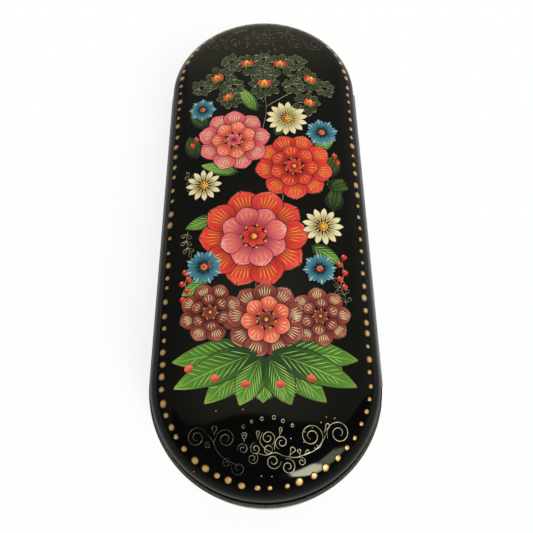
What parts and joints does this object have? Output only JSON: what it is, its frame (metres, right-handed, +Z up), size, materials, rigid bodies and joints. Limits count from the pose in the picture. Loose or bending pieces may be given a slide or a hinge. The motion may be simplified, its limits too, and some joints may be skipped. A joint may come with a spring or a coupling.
{
  "type": "eyeglass case",
  "caption": "Long oval hinged spectacle case in glossy black lacquer, with a pillow-shaped lid, a gold dot border, painted ornament and a velvet-lined inside.",
  "frame": {"origin": "middle of the case's underside, on the surface it rests on", "axes": "+Z up towards the lid, +Y along the case towards its far end, +X towards the hinge side"},
  "size_m": [0.0666, 0.1688, 0.0325],
  "materials": {
    "black_lacquer": "papier-mache under polished black lacquer",
    "red_lacquer": "papier-mache under red lacquer",
    "velvet": "short-pile dark red velvet on card",
    "hinge_steel": "dull plated steel",
    "gold_paint": "hand-laid gold paint, slightly raised",
    "painted_ornament": "opaque tempera colours under clear lacquer"
  },
  "bodies": {
    "base": {"base_bottom_board": "black_lacquer", "base_wall": "black_lacquer", "base_inner_sleeve": "red_lacquer", "base_floor_pad": "velvet", "base_wall_velvet": "velvet", "hinge_base_leaf": "hinge_steel", "hinge_pin": "hinge_steel", "base_leaf_pin_1": "hinge_steel", "base_leaf_pin_2": "hinge_steel", "base_leaf_pin_3": "hinge_steel", "base_leaf_pin_4": "hinge_steel", "base_leaf_pin_5": "hinge_steel"},
    "lid": {"lid_shell": "black_lacquer", "lid_velvet": "velvet", "hinge_lid_leaf": "hinge_steel", "lid_leaf_pin_1": "hinge_steel", "lid_leaf_pin_2": "hinge_steel", "lid_leaf_pin_3": "hinge_steel", "lid_leaf_pin_4": "hinge_steel", "lid_leaf_pin_5": "hinge_steel"}
  },
  "joints": [
    {"name": "lid_hinge", "type": "hinge", "parent": "base", "child": "lid", "pos_m": [0.0323, 0, 0.02015], "axis": [0, 1, 0], "range_deg": [0, 110]}
  ]
}
